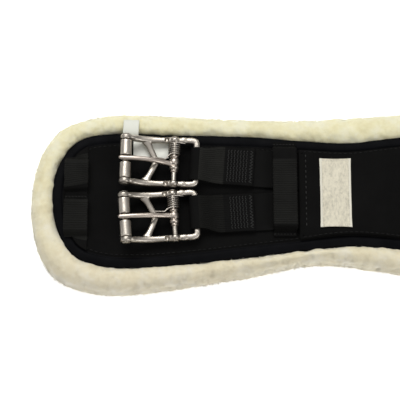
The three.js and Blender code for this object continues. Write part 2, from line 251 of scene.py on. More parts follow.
def tube(path, width, height, sides=20, power=2.0):
    """A closed tube of superelliptic section: width and height are half sizes along the path."""
    path = np.array(path, float)
    across, above = frames_along(path)
    a = circle(sides)
    c = np.sign(np.cos(a)) * np.abs(np.cos(a)) ** (2 / power)
    s = np.sign(np.sin(a)) * np.abs(np.sin(a)) ** (2 / power)
    w = np.broadcast_to(np.array(width, float), (len(path),))[:, None, None]
    h = np.broadcast_to(np.array(height, float), (len(path),))[:, None, None]
    c, s = c[None, :, None], s[None, :, None]
    return capped(path[:, None] + across[:, None] * w * c + above[:, None] * h * s)


def turned(profile, x, z, sides):
    """Rings of a body turned about the line along Y through (x, z), from (radius, y) pairs."""
    profile = np.array(profile, float)
    a = circle(sides)
    return np.stack([
        x + profile[:, :1] * np.cos(a)[None],
        np.broadcast_to(profile[:, 1:], (len(profile), sides)),
        z + profile[:, :1] * np.sin(a)[None],
    ], axis=-1)


def fused(name, parts, voxel, smoothing):
    """One cast-looking solid from overlapping closed shapes."""
    obj = solid(name, *joined(parts))
    remesh = obj.modifiers.new("remesh", "REMESH")
    remesh.mode = "VOXEL"
    remesh.voxel_size = voxel * MM
    soften = obj.modifiers.new("soften", "SMOOTH")
    soften.factor = 0.5
    soften.iterations = smoothing
    return applied(obj)


def applied(obj):
    """The object with its modifiers applied."""
    depsgraph = bpy.context.evaluated_depsgraph_get()
    data = bpy.data.meshes.new_from_object(obj.evaluated_get(depsgraph))
    obj.modifiers.clear()
    old = obj.data
    obj.data = data
    bpy.data.meshes.remove(old)
    obj.data.shade_smooth()
    return obj


def fill(rim, spacing, margin=0.6):
    """Interior points and triangles inside a closed loop of 2D points."""
    loop = [Vector(p) for p in rim]
    inner = []
    a, b = rim, np.roll(rim, -1, axis=0)
    for x in np.arange(rim[:, 0].min() + spacing / 2, rim[:, 0].max(), spacing):
        hit = (a[:, 0] <= x) != (b[:, 0] <= x)
        ys = np.sort(a[hit, 1] + (x - a[hit, 0]) / (b[hit, 0] - a[hit, 0]) * (b[hit, 1] - a[hit, 1]))
        for y0, y1 in zip(ys[::2], ys[1::2]):
            count = int((y1 - y0 - 2 * margin * spacing) / spacing)
            if count < 1:
                continue
            gap = (y1 - y0) / (count + 1)
            inner += [Vector((x, y0 + gap * (i + 1))) for i in range(count)]
    n = len(loop)
    edges = [(i, (i + 1) % n) for i in range(n)]
    points, _, faces, origin, _, _ = delaunay_2d_cdt(loop + inner, edges, [], 1, 1e-7)
    return np.array([tuple(p) for p in points]), faces, origin


def cap_of(ring, spacing, height):
    """A cap that fills a ring: its own vertices, and its faces in which the ring's vertices come first."""
    n = len(ring)
    points, faces, origin = fill(ring[:, :2], spacing)
    place = {}
    extra = []
    for i, (p, o) in enumerate(zip(points, origin)):
        first = [k for k in o if k < n]
        if first:
            place[i] = first[0]
        else:
            place[i] = n + len(extra)
            extra.append(p)
    extra = np.array(extra)
    z = height(extra[:, 0], extra[:, 1])
    return np.column_stack([extra, z]), [[place[i] for i in f] for f in faces]


def on_band(cap, count, across, column, start):
    """A cap's faces numbered for a band: its ring is one column there, its own vertices begin at start."""
    return [[i * across + column if i < count else start + i - count for i in f] for f in cap]


def cushion(name, points, spacing, height):
    """A closed body from a band of rings, flat across its first ring and capped at a height in its last."""
    count, across = points.shape[:2]
    verts, faces = grid(points, wrap_u=True)
    extra, cap = cap_of(points[:, -1], spacing, height)
    faces += on_band(cap, count, across, across - 1, len(verts))
    faces.append([i * across for i in range(count)])
    return solid(name, np.vstack([verts, extra]), faces)


# ---------------------------------------------------------------- materials

def set_stops(ramp, stops):
    while len(ramp.elements) < len(stops):
        ramp.elements.new(0.5)
    for element, (at, color) in zip(ramp.elements, stops):
        element.position = at
        element.color = (*color, 1)


class Nodes:
    """A material's node tree with short calls to build it."""

    def __init__(self, name, color, rough, spec=0.5, metal=0.0):
        self.mat = bpy.data.materials.new(name)
        self.mat.use_nodes = True
        self.tree = self.mat.node_tree
        self.shader = self.tree.nodes["Principled BSDF"]
        self.set("Base Color", (*color, 1))
        self.set("Roughness", rough)
        self.set("Specular IOR Level", spec)
        self.set("Metallic", metal)
        self.coords = self.node("ShaderNodeTexCoord").outputs["Object"]

    def set(self, socket, value):
        self.shader.inputs[socket].default_value = value

    def node(self, kind, **values):
        made = self.tree.nodes.new(kind)
        for key, value in values.items():
            if hasattr(made, key):
                setattr(made, key, value)
            else:
                made.inputs[key.replace("_", " ")].default_value = value
        return made

    def link(self, a, b):
        self.tree.links.new(a, b)

    def noise(self, size_mm, detail=3, rough=0.55, stretch=None):
        """Noise of a given feature size, about 0 to 1."""
        made = self.node("ShaderNodeTexNoise", Scale=1 / (size_mm * MM), Detail=detail, Roughness=rough)
        self.link(self.mapped(stretch) if stretch else self.coords, made.inputs["Vector"])
        return made.outputs["Fac"]

    def mapped(self, scale, turn=0.0):
        made = self.node("ShaderNodeMapping", Scale=scale, Rotation=(0, 0, turn))
        self.link(self.coords, made.inputs["Vector"])
        return made.outputs["Vector"]

    def wave(self, pitch_mm, direction="X", turn=0.0, distortion=0.0):
        """Parallel bands of a given pitch, 0 to 1."""
        bands = {"wave_type": "BANDS", "bands_direction": direction, "Scale": math.pi / 10 / (pitch_mm * MM)}
        made = self.node("ShaderNodeTexWave", **bands, Distortion=distortion, Detail=1, Detail_Scale=2)
        self.link(self.mapped((1, 1, 1), turn), made.inputs["Vector"])
        return made.outputs["Fac"]

    def math(self, operation, a, b):
        made = self.node("ShaderNodeMath", operation=operation)
        for value, socket in ((a, made.inputs[0]), (b, made.inputs[1])):
            if isinstance(value, (int, float)):
                socket.default_value = value
            else:
                self.link(value, socket)
        return made.outputs[0]

    def mixed(self, a, share_a, b, share_b):
        return self.math("ADD", self.math("MULTIPLY", a, share_a), self.math("MULTIPLY", b, share_b))

    def ramp(self, fac, stops):
        made = self.node("ShaderNodeValToRGB")
        set_stops(made.color_ramp, stops)
        self.link(fac, made.inputs["Fac"])
        return made.outputs["Color"]

    def color(self, fac, stops):
        self.link(self.ramp(fac, stops), self.shader.inputs["Base Color"])

    def roughness(self, fac, low, high):
        made = self.node("ShaderNodeMapRange", To_Min=low, To_Max=high)
        self.link(fac, made.inputs["Value"])
        self.link(made.outputs["Result"], self.shader.inputs["Roughness"])

    def bump(self, height, depth_mm, strength=1.0):
        made = self.node("ShaderNodeBump", Strength=strength, Distance=depth_mm * MM)
        self.link(height, made.inputs["Height"])
        last = self.shader.inputs["Normal"]
        if last.is_linked:
            self.link(last.links[0].from_socket, made.inputs["Normal"])
        self.link(made.outputs["Normal"], last)


def tint(color, k):
    return tuple(c * k for c in color)


def fleece_material():
    """Cream wool with painted shade: greyer towards the near side, where the roll's flank lies in shade; with
    a soft glow of light inside it.
    """
    creamy = (0.68, 0.625, 0.37), (0.73, 0.69, 0.445), (0.75, 0.725, 0.53)
    # Painted shade: darker, greyer copies of the cream tones, for the shaded near side.
    shaded_tones = (0.65, 0.575, 0.41), (0.69, 0.625, 0.46), (0.71, 0.66, 0.53)
    m = Nodes("fleece", (0.5, 0.5, 0.5), 0.95, spec=0.1)
    m.set("Sheen Weight", 0.25)
    m.set("Sheen Roughness", 0.6)
    m.set("Subsurface Weight", 0.12)
    m.set("Subsurface Radius", (0.003, 0.0026, 0.0018))
    m.set("Subsurface Scale", 1.0)
    blend = m.mixed(m.noise(17, 3), 0.7, m.noise(2.6, 3), 0.3)
    far, near = (m.ramp(blend, list(zip((0.36, 0.5, 0.64), tones))) for tones in (creamy, shaded_tones))
    # Painted shade: the object's Y blends in the shaded tones towards the near side and the creamy tones
    # towards the far side.
    split = m.node("ShaderNodeSeparateXYZ")
    m.link(m.coords, split.inputs[0])
    side = m.node("ShaderNodeMapRange", From_Min=-0.07, From_Max=0.07)
    m.link(split.outputs["Y"], side.inputs["Value"])
    mix = m.node("ShaderNodeMix", data_type="RGBA")
    m.link(side.outputs["Result"], mix.inputs["Factor"])
    m.link(near, mix.inputs["A"])
    m.link(far, mix.inputs["B"])
    m.link(mix.outputs["Result"], m.shader.inputs["Base Color"])
    m.bump(m.noise(1.8, 3, 0.6), 0.4, 0.6)
    return m.mat


def weave_material(name, base, rough, pitch, depth, spec=0.15, fuzz=0.25):
    """Plain woven cloth: crossed threads, with a slow change of tone."""
    m = Nodes(name, base, rough, spec)
    cloth = m.math("MULTIPLY", m.wave(pitch, "X"), m.wave(pitch, "Y"))
    tone = m.mixed(m.noise(22, 4), 0.6, cloth, 0.4)
    m.color(tone, [(0.25, tint(base, 1 - fuzz)), (0.5, base), (0.75, tint(base, 1 + fuzz))])
    m.roughness(m.noise(5, 3), rough - 0.08, min(rough + 0.08, 1))
    m.bump(cloth, depth, 0.7)
    m.bump(m.noise(0.7, 2), depth * 0.6, 0.5)
    return m.mat


def label_material():
    """Raised satin weave of a blank label: uneven picks over the ground weave."""
    base = (0.61, 0.57, 0.452)
    m = Nodes("woven_label", base, 0.85, spec=0.15)
    picks = m.noise(1.5, 3, 0.7, stretch=(1.0, 0.45, 1.0))
    tone = m.mixed(picks, 0.7, m.noise(9, 3), 0.3)
    m.color(tone, [(0.36, tint(base, 0.74)), (0.5, base), (0.64, tint(base, 1.14))])
    m.bump(picks, 0.12, 0.7)
    m.bump(m.wave(0.8, "Y"), 0.06, 0.6)
    return m.mat


def rim_material():
    """Smooth knitted facing of the cover's edge, a little bluer and glossier than the cover."""
    base = (0.0040, 0.0041, 0.0047)
    m = Nodes("cover_rim", base, 0.5, spec=0.015)
    tone = m.noise(14, 4)
    m.color(tone, [(0.3, tint(base, 0.8)), (0.7, tint(base, 1.3))])
    m.roughness(m.noise(4, 3), 0.42, 0.58)
    m.bump(m.noise(0.9, 3), 0.08, 0.5)
    return m.mat


def webbing_material(name, base, rough, spec):
    """Ribbed nylon webbing: fine slanting yarns over the modelled ribs."""
    m = Nodes(name, base, rough, spec)
    yarn = m.wave(0.95, "X", turn=0.6, distortion=0.6)
    cross = m.wave(0.95, "X", turn=-0.6, distortion=0.6)
    cloth = m.math("MAXIMUM", yarn, cross)
    tone = m.mixed(m.noise(12, 4), 0.5, cloth, 0.5)
    m.color(tone, [(0.3, tint(base, 0.7)), (0.55, base), (0.8, tint(base, 1.45))])
    m.roughness(m.noise(3, 3), rough - 0.1, rough + 0.1)
    m.bump(cloth, 0.06, 0.5)
    return m.mat


def metal_material(name, base, rough, grain):
    """Polished cast or drawn steel: slow unevenness and smears in the gloss."""
    m = Nodes(name, base, rough, metal=1.0)
    m.color(m.noise(7, 3), [(0.3, tint(base, 0.92)), (0.7, tint(base, 1.06))])
    m.roughness(m.noise(4, 3), rough - 0.05, rough + 0.1)
    m.bump(m.noise(4.5, 2), grain, 0.4)
    return m.mat


def thread_material(name, base, rough=0.7):
    m = Nodes(name, base, rough, spec=0.2)
    twist = m.wave(0.5, "DIAGONAL")
    m.color(twist, [(0.2, tint(base, 0.75)), (0.8, tint(base, 1.2))])
    m.bump(twist, 0.08, 0.6)
    return m.mat


FLEECE = fleece_material()
COVER = weave_material("cover_cloth", (0.0060, 0.0059, 0.0057), 0.9, 0.9, 0.1, spec=0.02)
RIM = rim_material()
LINING = weave_material("lining_cloth", (0.01, 0.01, 0.01), 0.9, 1.2, 0.1)
FOAM = weave_material("foam_edge", (0.05, 0.05, 0.052), 0.95, 1.5, 0.15)
WEBBING = webbing_material("webbing", (0.0125, 0.0124, 0.0110), 0.62, 0.03)
ELASTIC = webbing_material("keeper_elastic", (0.0098, 0.0097, 0.0088), 0.66, 0.03)
# Smooth ground weave; its dark colour is partly painted shade, on the keepers' sloping ends and on the webs
# by their loops.
ELASTIC_GROUND_AND_SHADE = weave_material("elastic_ground_painted_shade", (0.0064, 0.0063, 0.0060), 0.85, 0.9, 0.08, spec=0.03)
# Painted shade: the loop round the bar is coloured as dark as its shade; its higher gloss lets the crest
# catch a highlight.
WEB_LOOP_SHADE = weave_material("web_loop_painted_shade", (0.0066, 0.0066, 0.0062), 0.42, 0.9, 0.05, spec=0.22)
# Painted shade: a darker copy of the webbing for the near web, which lies in more shade than the far one.
WEBBING_IN_SHADE = webbing_material("near_webbing", (0.0066, 0.0065, 0.0058), 0.62, 0.03)
LABEL = label_material()
LABEL_EDGE = weave_material("woven_label_fold", (0.70, 0.67, 0.56), 0.8, 0.8, 0.1, fuzz=0.08)
SATIN = weave_material("satin_tape", (0.665, 0.67, 0.59), 0.5, 0.35, 0.03, spec=0.3, fuzz=0.05)
# Painted light: a brighter copy of the satin tape, lifting the care label's wide part against the buckle's
# shade.
CARE_TAPE_PAINTED_LIGHT = weave_material("care_tape_painted_light", (0.84, 0.84, 0.76), 0.6, 0.35, 0.03, spec=0.2, fuzz=0.12)
FRAME_STEEL = metal_material("buckle_steel", (0.435, 0.397, 0.343), 0.33, 0.05)
ROLLER_STEEL = metal_material("roller_steel", (0.58, 0.53, 0.46), 0.34, 0.02)
TONGUE_STEEL = metal_material("tongue_steel", (0.47, 0.412, 0.355), 0.32, 0.04)
SPRING_STEEL = metal_material("spring_steel", (0.42, 0.384, 0.338), 0.31, 0.01)
BLACK_THREAD = thread_material("black_thread", (0.021, 0.021, 0.0197), 0.55)
SEAM_THREAD = thread_material("seam_thread", (0.0052, 0.0052, 0.0051), 0.6)
LABEL_THREAD = thread_material("label_thread", (0.62, 0.58, 0.5))


def piece(obj, material, body, nodes=()):
    """Gives a piece its material and its body, and hides the CAD parts that it stands for."""
    obj.data.materials.clear()
    obj.data.materials.append(material)
    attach(obj, body)
    if nodes:
        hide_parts(*nodes)


# ---------------------------------------------------------------- fleece

UNDERSIDE = 0.7  # height of the fleece's underside
FLEECE_PROFILE = [  # inset and height, from under the cover's edge over the roll and down to the floor
    (16.4, 12.6), (16.2, 19), (15.7, 25), (14.5, 29.8), (11.8, 32.4), (8.2, 33.0), (4.9, 31.8), (2.2, 28.6),
    (0.6, 23.6), (0.0, 17), (0.5, 10), (2.6, 4.6), (6.4, 1.7), (11.5, 0.8), (18, UNDERSIDE), (27, UNDERSIDE),
]
MEAN_BAND = 14.9  # width in plan of the roll outside the cover, for which the profile is drawn
LOOSE_TIPS = 26000


def around(base, profile, rings_across, widths=None):
    """A band of rings: a loop moved in by each inset of the profile, at its height.

    Widths, if given, scale the insets at each point of the loop.
    """
    profile = spline(profile, rings_across)
    inset = profile[None, :, :1] * (np.ones(len(base)) if widths is None else widths)[:, None, None]
    plan = base[:, None] + inward_of(base)[:, None] * inset
    height = np.broadcast_to(profile[None, :, 1:], (len(base), rings_across, 1))
    return np.concatenate([plan, height], axis=2)


def band_normals(points):
    along = np.roll(points, -1, axis=0) - np.roll(points, 1, axis=0)
    over = np.gradient(points, axis=1)
    return unit(np.cross(over, along))


def fleece_under(x, y):
    flat = np.column_stack([x, y, np.full(len(x), UNDERSIDE)])
    return UNDERSIDE + 0.45 * fractal(flat, 6.0)


def fleece_roll():
    """The fleece as one closed pad with tufts; gives the smooth roll under them and its normals."""
    count, across = 1440, 58
    edge = outline(FLEECE_EDGE, 0, count)
    base = around(edge, FLEECE_PROFILE, across, inset_of(edge[:, 0], edge[:, 1]) / MEAN_BAND)
    out = band_normals(base)
    flat = base.reshape(-1, 3)
    tufts = fractal(flat, 8.5).reshape(count, across) * 0.95
    curls = fractal(flat, 3.0).reshape(count, across) * 0.34
    strength = smoothstep(base[..., 2], 1.0, 9.0) * 0.85 + 0.15
    strength *= 1 - 0.75 * smoothstep(-base[..., 2], -24, -14) * (np.arange(across) < across // 3)
    points = base + out * ((tufts + curls) * strength)[..., None]
    points[..., 2] = np.maximum(points[..., 2], 0.25)
    obj = cushion("fleece_roll", points, 5.0, fleece_under)
    piece(obj, FLEECE, "root", ["fleece_liner", "fleece_roll_left", "fleece_roll_right"])
    return base, out


def fleece_pile(base, out):
    """Loose tips of wool standing out of the roll, shaded as part of its surface."""
    count, across = base.shape[:2]
    u = RNG.integers(0, count, LOOSE_TIPS)
    v = RNG.integers(int(across * 0.16), int(across * 0.8), LOOSE_TIPS)
    root, normal = base[u, v] + RNG.normal(0, 0.3, (LOOSE_TIPS, 3)), out[u, v]
    side = unit(RNG.normal(size=(LOOSE_TIPS, 3)))
    off_floor = root[:, 2] > 1.5
    root, normal, side, v = (part[off_floor] for part in (root, normal, side, v))
    many = len(root)
    lean = unit(normal + 0.8 * side)
    first = unit(np.cross(lean, side))
    second = np.cross(lean, first)
    shorter_inside = 0.45 + 0.55 * smoothstep(v, across * 0.2, across * 0.42)
    length = RNG.uniform(0.9, 2.1, many) * shorter_inside
    foot = root - normal * 0.5
    corners = [foot + 0.22 * (first * math.cos(a) + second * math.sin(a)) for a in (0, 2.1, 4.2)]
    points = np.stack(corners + [root + lean * length[:, None]], axis=1)
    points[..., 2] = np.maximum(points[..., 2], 0.1)
    index = np.arange(many * 4).reshape(many, 4)
    sides = ([0, 1, 3], [1, 2, 3], [2, 0, 3], [2, 1, 0])
    faces = np.vstack([index[:, corner] for corner in sides]).tolist()
    obj = add_mesh("fleece_pile", points.reshape(-1, 3), faces)
    obj.data.normals_split_custom_set_from_vertices(np.repeat(normal, 4, axis=0).tolist())
    piece(obj, FLEECE, "root")


# ---------------------------------------------------------------- cover

COVER_PROFILE = [  # inset and height, from its lower edge over the rim and the contour line
    (3.0, 25.2), (1.2, 25.4), (0.4, 26.4), (0.3, 27.8), (0.9, 29.2), (2.4, 29.9), (4.9, 30.25), (6.8, 30.1),
    (7.7, 29.6), (GROOVE, 29.25), (8.9, 29.5), (9.8, 30.1), (11.2, 30.34), (14.5, 30.4), (19, 30.4),
]
PAD_CLOTH_TOP = 29.0
MOST_SWELL = 6.0


def pressed_pad():
    """Cloth simulation of the foam-filled cover: pressure lifts it between its sewn edges."""
    rings = [(9, 16), (5, 17), (3.5, 20), (3.5, 25), (5, 28), (9, PAD_CLOTH_TOP)]
    count, across = 260, 12
    verts, faces = grid(around(outline(COVER_EDGE, 0, count), rings, across), wrap_u=True)
    faces += [[i * across + column for i in range(count)] for column in (0, across - 1)]
    obj = solid("pad_cloth", verts, faces)
    remesh = obj.modifiers.new("remesh", "REMESH")
    remesh.mode = "VOXEL"
    remesh.voxel_size = 5 * MM
    applied(obj)
    start = np.array([v.co[:] for v in obj.data.vertices]) / MM
    edge = inset_of(start[:, 0], start[:, 1]) < 10.5
    pin = obj.vertex_groups.new(name="sewn")
    pin.add([int(i) for i in np.nonzero(edge)[0]], 1.0, "REPLACE")
    cloth = obj.modifiers.new("cloth", "CLOTH")
    cloth.settings.quality = 4
    cloth.settings.use_pressure = True
    cloth.settings.uniform_pressure_force = 4
    cloth.settings.vertex_group_mass = "sewn"
    cloth.settings.tension_stiffness = cloth.settings.compression_stiffness = 25
    cloth.settings.effector_weights.gravity = 0
    for step in range(1, 21):
        bpy.context.scene.frame_set(step)
    depsgraph = bpy.context.evaluated_depsgraph_get()
    swollen = obj.evaluated_get(depsgraph).to_mesh()
    end = np.array([v.co[:] for v in swollen.vertices]) / MM
    move = end - start
    size = np.linalg.norm(move, axis=1, keepdims=True)
    end = start + move * np.minimum(1, MOST_SWELL / np.maximum(size, 1e-6))
    faces = [list(p.vertices) for p in obj.data.polygons]
    bpy.data.objects.remove(obj)
    bpy.context.scene.frame_set(1)
    return BVHTree.FromPolygons([Vector(p) for p in end], faces)


def crown(tree):
    """Height of the cover's top inside its contour line: what the simulation gave, kept under the webs."""
    def height(x, y):
        inset = inset_of(x, y)
        if tree is None:
            lift = 2.2 * (1 - np.exp(-(inset - 10) / 9))
        else:
            hits = [tree.ray_cast(Vector((a, b, 90)), Vector((0, 0, -1)))[0] for a, b in zip(x, y)]
            lift = np.array([hit.z if hit else PAD_CLOTH_TOP for hit in hits]) - PAD_CLOTH_TOP
        wrinkle = ripple(x, y, 34, 15, 0.3)
        return 30.38 - 0.55 + np.clip(lift * 0.25, 0, 0.45) + 0.1 * wrinkle * smoothstep(inset, 11, 19)
    return height


def cover_pad():
    """The padded cover, with a smooth facing outside its contour line."""
    count, across = 1200, 40
    points = around(outline(COVER_EDGE, 0, count), COVER_PROFILE, across)
    slow = soft_noise(points.reshape(-1, 3), 16).reshape(count, across)
    points[..., 2] += 0.28 * slow * smoothstep(points[..., 2], 25.8, 28.5)
    obj = cushion("cover_pad", points, 3.0, crown(pressed_pad()))
    piece(obj, COVER, "root", ["cover_top"])
    obj.data.materials.append(RIM)
    bands = count * (across - 1)
    seam = int(np.argmin(points[0, :, 2][across // 3:])) + across // 3
    rim = np.zeros(len(obj.data.polygons), dtype=np.int32)
    rim[:bands] = (np.arange(bands) % (across - 1)) < seam
    obj.data.polygons.foreach_set("material_index", rim)


def stitches(name, runs, radius, material):
    """Rows of thread from runs of (start, end, up): each stitch humps over the cloth between its ends."""
    start = np.vstack([r[0] for r in runs])
    end = np.vstack([r[1] for r in runs])
    up = np.vstack([np.broadcast_to(r[2], r[0].shape) for r in runs])
    way = unit(end - start)
    across = unit(np.cross(way, up))
    t = np.array([0, 0.16, 0.5, 0.84, 1.0])
    lift = np.array([-0.5, 0.45, 0.75, 0.45, -0.5]) * radius
    girth = np.array([0.45, 0.9, 1.0, 0.9, 0.45]) * radius
    a = circle(6)
    centre = start[:, None] + (end - start)[:, None] * t[None, :, None] + up[:, None] * lift[None, :, None]
    ring = across[:, None] * np.cos(a)[:, None] + up[:, None] * np.sin(a)[:, None]
    points = centre[:, :, None] + ring[:, None] * girth[None, :, None, None]
    many = len(points)
    index = np.arange(many * 30).reshape(many, 5, 6)
    turn = np.roll(index, -1, axis=2)
    quads = np.stack([index[:, :-1], turn[:, :-1], turn[:, 1:], index[:, 1:]], axis=-1).reshape(-1, 4)
    faces = quads.tolist() + index[:, 0, ::-1].tolist() + index[:, -1].tolist()
    obj = solid(name, points.reshape(-1, 3), faces)
    piece(obj, material, "root")


def stitch_run(path, length, gap, closed=False):
    """Start and end of each stitch along a path."""
    if closed:
        path = np.vstack([path, path[:1]])
    s = lengths(path)
    count = int(s[-1] / (length + gap))
    begin = np.linspace(0, s[-1], count, endpoint=False)
    start, end = (np.column_stack([np.interp(at, s, p) for p in path.T]) for at in (begin, begin + length))
    return start, end, np.array([0.0, 0.0, 1.0])


# ---------------------------------------------------------------- panel over the waist

PANEL_THICK = 1.35
PANEL_RIM = [  # inset and drop below its top, from its under edge round the fold
    (1.0, PANEL_THICK), (0.3, 1.3), (0.0, 1.0), (0.0, 0.55), (0.3, 0.15), (1.0, -0.12), (2.2, 0.02),
    (3.4, 0.0),
]


def panel_height(x, y):
    """Height of the panel's top, which lies over the pair of webs and slopes off beside them."""
    beside_webs = np.maximum(np.abs(y - WEB_MIDDLE) - (WEB_WIDTH + 0.5), 0)
    shoulder = 1 - smoothstep(beside_webs, 0.5, 9.0)
    return 32.15 + 2.2 * shoulder + 0.12 * ripple(x, y, 26, 19, 4.1)


def center_panel():
    """The second layer over the waist, with a folded edge all round."""
    edge = outline(COVER_EDGE, 8.8, 2400)
    edge = edge[np.abs(edge[:, 0]) <= PANEL_HALF]
    upper, lower = (edge[edge[:, 1] * side > 0] for side in (1, -1))
    upper = upper[np.argsort(-upper[:, 0])]
    lower = lower[np.argsort(lower[:, 0])]
    loop = resample(np.vstack([upper, lower, upper[:1]]), 640, closed=True)
    for _ in range(2):
        loop = (np.roll(loop, 1, axis=0) + 2 * loop + np.roll(loop, -1, axis=0)) / 4
    inward = inward_of(loop)
    rings = []
    for inset, drop in PANEL_RIM:
        plan = loop + inward * inset
        z = panel_height(plan[:, 0], plan[:, 1])
        rings.append(np.column_stack([plan, z - drop]))
    points = np.stack(rings, axis=1)
    verts, faces = grid(points, wrap_u=True)
    count, across = points.shape[:2]
    extra, top = cap_of(points[:, -1], 2.4, panel_height)
    below = extra - [0, 0, PANEL_THICK]
    faces += on_band(top, count, across, across - 1, len(verts))
    faces += [f[::-1] for f in on_band(top, count, across, 0, len(verts) + len(extra))]
    obj = solid("waist_panel", np.vstack([verts, extra, below]), faces)
    piece(obj, COVER, "root", ["center_panel"])


def seam_stitches():
    """Stitches along the contour line and beside the panel's two ends."""
    contour = outline(COVER_EDGE, GROOVE + 2, 1600)
    inside = np.abs(contour[:, 0]) < PANEL_HALF - 0.5
    z = np.where(inside, panel_height(contour[:, 0], contour[:, 1]) + 0.02, 30.1)
    line = np.column_stack([contour, z])
    stitches("contour_seam", [stitch_run(line, 2.9, 1.0, closed=True)], 0.26, SEAM_THREAD)
    runs = []
    for end in ENDS.values():
        y = np.linspace(-23, 35, 80)
        x = np.full(80, end * (PANEL_HALF - 5.6))
        runs.append(stitch_run(np.column_stack([x, y, panel_height(x, y) + 0.05]), 2.2, 1.7))
    stitches("panel_seams", runs, 0.5, BLACK_THREAD)


# ---------------------------------------------------------------- webs

WEB_BEND = 7  # half length of the bend where a web starts to part from the other


def web_place(row, end, s):
    """Plan position and across direction of a web, at s beyond the place where the two start to part."""
    side, splay = ROWS[row]
    splay = math.radians(splay)
    u = s * math.cos(splay)
    softened = np.sqrt(u * u + WEB_BEND**2)
    x = end * (SPREAD_FROM + u)
    y = WEB_MIDDLE + side * ((WEB_WIDTH + 0.3) / 2 + math.tan(splay) * (u + softened) / 2)
    slope = side * math.tan(splay) * (1 + u / softened) / 2
    return x, y, unit(np.column_stack([-end * slope, np.ones_like(slope), np.zeros_like(slope)]))


WEB_UNDER = 31.7
WEB_SIDE = [  # distance and height of the strap's middle, from its tail over the bar and back underneath
    (WEB_END - WEB_TAIL, 33.75), (48, 33.75), (60, 33.85), (66, 34.8), (71, 36.9), (75.5, 38.9),
    (WEB_END, 39.8), (81.8, 38.7), (82.95, 35.8), (81.8, 33.0), (WEB_END, 31.85), (75, 31.72),
    (60, WEB_UNDER), (30, WEB_UNDER), (-12, WEB_UNDER),
]


def web_end(row, end, half):
    """Path, across and up vectors of a web at one end of the girth."""
    x, y, across = web_place(row, end, half[:, 0])
    path = np.column_stack([x, y, half[:, 1]])
    return path, across, unit(np.cross(unit(np.gradient(path, axis=0)), across)) * end


def load_web(row):
    """One web, end to end: two ends with a level run between them, narrowed where it goes round each bar."""
    side = ROWS[row][0]
    half = spline(WEB_SIDE, 125)
    (pl, al, ul), (pr, ar, ur) = (web_end(row, end, half) for end in ENDS.values())
    run = 40
    middle_y = web_place(row, 1, np.array([-40.0]))[1][0]
    middle = np.full((run, 3), [0, middle_y, WEB_UNDER])
    middle[:, 0] = np.linspace(-SPREAD_FROM + 18, SPREAD_FROM - 18, run)
    path = np.vstack([pl, middle, pr[::-1]])
    across = np.vstack([al, np.full((run, 3), [0.0, 1.0, 0.0]), ar[::-1]])
    above = np.vstack([ul, np.full((run, 3), [0.0, 0.0, -1.0]), ur[::-1]])
    reach = np.concatenate([half[:, 0], np.zeros(run), half[::-1, 0]])
    height = np.concatenate([half[:, 1], np.zeros(run), half[::-1, 1]])
    cinch = smoothstep(reach, 60, 74)
    upper = height > 33
    tail = upper * (1 - smoothstep(reach, 75.3, 76.6))
    ribs = 17
    v = np.linspace(-1, 1, ribs * 6 + 1)
    ridge = 0.52 * np.abs(np.sin(v * ribs * math.pi / 2)) ** 0.8
    edge = rounded(v, 0.955, 0.02)
    ribbed = (0.46 + ridge) * edge
    plain = 0.74 * edge
    sewn = upper * (1 - smoothstep(reach, 56, 57.5))
    body = plain + (ribbed - plain) * (tail * (1 - 0.6 * sewn))[:, None]
    section_v = np.concatenate([v, v[::-1]])
    section_h = np.concatenate([body, -body[:, ::-1]], axis=1)
    half_width = WEB_WIDTH / 2 - 0.15 - 1.9 * cinch
    shift = -side * 1.25 * cinch
    points = (
        path[:, None]
        + across[:, None] * (section_v[None, :, None] * half_width[:, None, None] + shift[:, None, None])
        + above[:, None] * section_h[:, :, None]
    )
    obj = solid(f"{row}_webbing", *capped(points))
    # The near web takes the darker copy of the webbing, which paints its shade.
    piece(obj, WEBBING if row == "far" else WEBBING_IN_SHADE, "root", [f"{row}_load_web"])
    obj.data.materials.append(ELASTIC_GROUND_AND_SHADE)
    obj.data.materials.append(WEB_LOOP_SHADE)
    # Smooth parts take the dark ground weave, partly painted shade; the loop round the bar takes the dark,
    # glossier loop weave, whose colour paints its shade.
    smooth = (tail < 0.5) | (sewn > 0.5)
    finish = smooth + ((reach > 75.9) & smooth)
    strips = np.repeat(finish[:-1], points.shape[1]).astype(np.int32)
    obj.data.polygons.foreach_set("material_index", np.append(strips, [0, 0]))


def tail_stitches():
    """Zigzag rows that hold each folded tail down, the last one along the tail's end broader."""
    runs = []
    for row, rows in (("far", 8), ("near", 7)):
        for end in ENDS.values():
            for k in range(rows):
                swing, pitch = (1.25, 1.15) if k == 0 else (0.55, 1.5)
                s0 = WEB_END - WEB_TAIL + 2.2 + (0 if k == 0 else 1.2 + 2.35 * k)
                count = int((WEB_WIDTH - 4) / pitch)
                reach = WEB_WIDTH / 2 - 2.2
                v = np.linspace(-reach, reach, count)
                s = s0 + swing * (np.arange(count) % 2 * 2 - 1) * (1 + 0.12 * RNG.normal(size=count))
                x, y, across = web_place(row, end, s)
                path = np.column_stack([x, y, np.full(count, 34.62)]) + across * v[:, None]
                runs.append((path[:-1], path[1:], np.array([0.0, 0.0, 1.0])))
    stitches("tail_seams", runs, 0.36, BLACK_THREAD)


# ---------------------------------------------------------------- keepers

def edge_y(x, side, inset):
    """Y of the contour line that far inside the outline, at one x."""
    line = outline(COVER_EDGE, inset, 2400)
    line = line[line[:, 1] * side > 0]
    order = np.argsort(line[:, 0])
    return np.interp(x, line[order, 0], line[order, 1])


